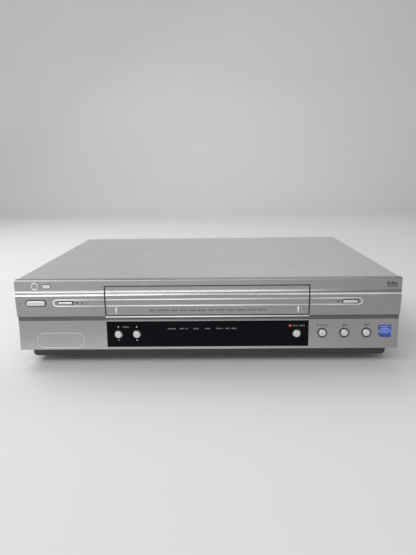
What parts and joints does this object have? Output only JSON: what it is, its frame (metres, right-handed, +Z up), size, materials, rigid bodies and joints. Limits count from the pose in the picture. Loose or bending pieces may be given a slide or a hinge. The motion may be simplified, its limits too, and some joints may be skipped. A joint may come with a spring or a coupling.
{
  "type": "video cassette player",
  "caption": "Low silver front-loading video cassette machine with a swing-in cassette door, black display window, push buttons and a full tape deck inside.",
  "frame": {"origin": "on the table under the middle of the whole machine", "axes": "+X to the right of a viewer facing the front, +Y towards the back, +Z up"},
  "size_m": [0.36, 0.2703, 0.086],
  "materials": {
    "front_silver": "silver paint on moulded plastic",
    "button_silver": "satin silver",
    "groove_grey": "matt dark grey",
    "window_black": "high gloss black",
    "cover_paint": "fine satin silver-grey paint",
    "tray_plastic": "matt dark grey",
    "foot_rubber": "matt",
    "rear_paint": "matt black paint",
    "screw_steel": "zinc plated",
    "board_green": "solder resist",
    "black_plastic": "matt",
    "deck_steel": "zinc plated sheet",
    "drum_aluminium": "turned bright",
    "white_plastic": "natural acetal",
    "brown_coil": "varnished",
    "capacitor_sleeve": "shrunk sleeve",
    "chrome_plate": "bright",
    "polished_steel": "polished",
    "roller_rubber": "ground matt",
    "brass": "turned",
    "display_glass": "smooth"
  },
  "bodies": {
    "chassis": {"main_frame": "tray_plastic", "feet": "foot_rubber", "front_bezel": "front_silver", "trim_strip": "groove_grey", "display_window": "window_black", "top_cover": "cover_paint", "rear_panel": "rear_paint", "cover_screws": "screw_steel", "front_board": "board_green", "tact_switches": "black_plastic", "display_module": "display_glass", "main_board": "board_green", "power_transformer": "brown_coil", "heat_sink": "drum_aluminium", "capacitors": "capacitor_sleeve", "ic_chips": "black_plastic", "tuner_module": "chrome_plate", "av_jack_block": "black_plastic", "av_jack_barrels": "chrome_plate", "mains_inlet": "black_plastic", "deck_plate": "deck_steel", "deck_screws": "screw_steel", "bracket_left": "deck_steel", "bracket_right": "deck_steel", "drum_base": "drum_aluminium", "capstan_bearing": "brass", "capstan_motor": "board_green", "loading_motor": "deck_steel", "erase_head": "polished_steel", "ac_head": "polished_steel", "guide_posts": "polished_steel"},
    "power_button": {"power_button": "button_silver"},
    "stop_eject_button": {"stop_eject_button": "button_silver"},
    "play_button": {"play_button": "button_silver"},
    "pause_button": {"pause_button": "button_silver"},
    "rewind_button": {"rewind_button": "button_silver"},
    "forward_button": {"forward_button": "button_silver"},
    "channel_down_button": {"channel_down_button": "button_silver"},
    "channel_up_button": {"channel_up_button": "button_silver"},
    "record_button": {"record_button": "button_silver"},
    "door": {"cassette_door": "front_silver"},
    "carriage": {"carriage_slider": "black_plastic"},
    "holder": {"cassette_holder": "deck_steel"},
    "drum": {"upper_drum": "drum_aluminium"},
    "capstan": {"capstan_flywheel": "polished_steel"},
    "supply_reel": {"supply_reel": "white_plastic"},
    "takeup_reel": {"takeup_reel": "white_plastic"},
    "idler_arm": {"idler_arm": "black_plastic"},
    "idler_gear": {"idler_gear": "white_plastic"},
    "pinch_arm": {"pinch_arm": "deck_steel"},
    "pinch_roller": {"pinch_roller": "roller_rubber"},
    "supply_guide": {"supply_guide": "polished_steel"},
    "takeup_guide": {"takeup_guide": "polished_steel"},
    "cam_gear": {"cam_gear": "white_plastic"},
    "worm": {"worm": "brass", "motor_shaft": "polished_steel"},
    "tension_arm": {"tension_arm": "deck_steel"},
    "supply_brake": {"supply_brake": "black_plastic"},
    "takeup_brake": {"takeup_brake": "black_plastic"}
  },
  "joints": [
    {"name": "power_button_press", "type": "slide", "parent": "chassis", "child": "power_button", "axis": [0, 1, 0], "range_m": [0, 0.0008], "stiffness_N_per_m": 500},
    {"name": "stop_eject_button_press", "type": "slide", "parent": "chassis", "child": "stop_eject_button", "axis": [0, 1, 0], "range_m": [0, 0.0008], "stiffness_N_per_m": 500},
    {"name": "play_button_press", "type": "slide", "parent": "chassis", "child": "play_button", "axis": [0, 1, 0], "range_m": [0, 0.0008], "stiffness_N_per_m": 500},
    {"name": "pause_button_press", "type": "slide", "parent": "chassis", "child": "pause_button", "axis": [0, 1, 0], "range_m": [0, 0.0008], "stiffness_N_per_m": 500},
    {"name": "rewind_button_press", "type": "slide", "parent": "chassis", "child": "rewind_button", "axis": [0, 1, 0], "range_m": [0, 0.0008], "stiffness_N_per_m": 500},
    {"name": "forward_button_press", "type": "slide", "parent": "chassis", "child": "forward_button", "axis": [0, 1, 0], "range_m": [0, 0.0008], "stiffness_N_per_m": 500},
    {"name": "channel_down_button_press", "type": "slide", "parent": "chassis", "child": "channel_down_button", "axis": [0, 1, 0], "range_m": [0, 0.0008], "stiffness_N_per_m": 500},
    {"name": "channel_up_button_press", "type": "slide", "parent": "chassis", "child": "channel_up_button", "axis": [0, 1, 0], "range_m": [0, 0.0008], "stiffness_N_per_m": 500},
    {"name": "record_button_press", "type": "slide", "parent": "chassis", "child": "record_button", "axis": [0, 1, 0], "range_m": [0, 0.0008], "stiffness_N_per_m": 500},
    {"name": "door_hinge", "type": "hinge", "parent": "chassis", "child": "door", "pos_m": [0, -0.129, 0.0814], "axis": [1, 0, 0], "range_deg": [0, 85], "stiffness_Nm_per_rad": 0.004, "springref_deg": -17.19},
    {"name": "carriage_run", "type": "slide", "parent": "chassis", "child": "carriage", "axis": [0, 1, 0], "range_m": [0, 0.062]},
    {"name": "holder_drop", "type": "slide", "parent": "carriage", "child": "holder", "axis": [0, 0, -1], "range_m": [0, 0.0175]},
    {"name": "drum_spin", "type": "hinge", "parent": "chassis", "child": "drum", "pos_m": [0, 0.042, 0.046], "axis": [0, -0.0872, 0.9962], "continuous": true},
    {"name": "capstan_spin", "type": "hinge", "parent": "chassis", "child": "capstan", "pos_m": [0.058, 0, 0.03], "axis": [0, 0, 1], "continuous": true},
    {"name": "supply_reel_spin", "type": "hinge", "parent": "chassis", "child": "supply_reel", "pos_m": [-0.046, -0.0645, 0.03], "axis": [0, 0, 1], "continuous": true},
    {"name": "takeup_reel_spin", "type": "hinge", "parent": "chassis", "child": "takeup_reel", "pos_m": [0.046, -0.0645, 0.03], "axis": [0, 0, 1], "continuous": true},
    {"name": "idler_swing", "type": "hinge", "parent": "chassis", "child": "idler_arm", "pos_m": [0, -0.05, 0.032], "axis": [0, 0, 1], "range_deg": [-36, 36]},
    {"name": "idler_spin", "type": "hinge", "parent": "idler_arm", "child": "idler_gear", "pos_m": [0, -0.067, 0.031], "axis": [0, 0, 1], "continuous": true},
    {"name": "cam_turn", "type": "hinge", "parent": "chassis", "child": "cam_gear", "pos_m": [-0.073, 0.022, 0.035], "axis": [0, 0, 1], "range_deg": [0, 180]},
    {"name": "worm_spin", "type": "hinge", "parent": "chassis", "child": "worm", "pos_m": [-0.0948, 0.022, 0.04], "axis": [0, 1, 0], "range_deg": [0, 5760]},
    {"name": "supply_guide_run", "type": "hinge", "parent": "chassis", "child": "supply_guide", "pos_m": [0.012, 0.02, 0.03], "axis": [0, 0, 1], "range_deg": [-70, 0]},
    {"name": "takeup_guide_run", "type": "hinge", "parent": "chassis", "child": "takeup_guide", "pos_m": [-0.012, 0.02, 0.03], "axis": [0, 0, 1], "range_deg": [0, 70]},
    {"name": "pinch_swing", "type": "hinge", "parent": "chassis", "child": "pinch_arm", "pos_m": [0.08, 0.014, 0.034], "axis": [0, 0, 1], "range_deg": [0, 43]},
    {"name": "pinch_spin", "type": "hinge", "parent": "pinch_arm", "child": "pinch_roller", "pos_m": [0.06223, 0.01876, 0.043], "axis": [0, 0, 1], "continuous": true},
    {"name": "tension_swing", "type": "hinge", "parent": "chassis", "child": "tension_arm", "pos_m": [-0.068, -0.006, 0.03], "axis": [0, 0, 1], "range_deg": [0, 40]},
    {"name": "supply_brake_swing", "type": "hinge", "parent": "chassis", "child": "supply_brake", "pos_m": [-0.016, -0.028, 0.03], "axis": [0, 0, 1], "range_deg": [0, 8]},
    {"name": "takeup_brake_swing", "type": "hinge", "parent": "chassis", "child": "takeup_brake", "pos_m": [0.016, -0.028, 0.03], "axis": [0, 0, 1], "range_deg": [-8, 0]}
  ],
  "couplings": [
    {"joint": "worm_spin", "follows": "cam_turn", "ratio": 32},
    {"joint": "supply_guide_run", "follows": "cam_turn", "ratio": -0.38889},
    {"joint": "takeup_guide_run", "follows": "cam_turn", "ratio": 0.38889},
    {"joint": "pinch_swing", "follows": "cam_turn", "ratio": 0.23889},
    {"joint": "tension_swing", "follows": "cam_turn", "ratio": 0.22222},
    {"joint": "supply_brake_swing", "follows": "cam_turn", "ratio": 0.044444},
    {"joint": "takeup_brake_swing", "follows": "cam_turn", "ratio": -0.044444}
  ]
}
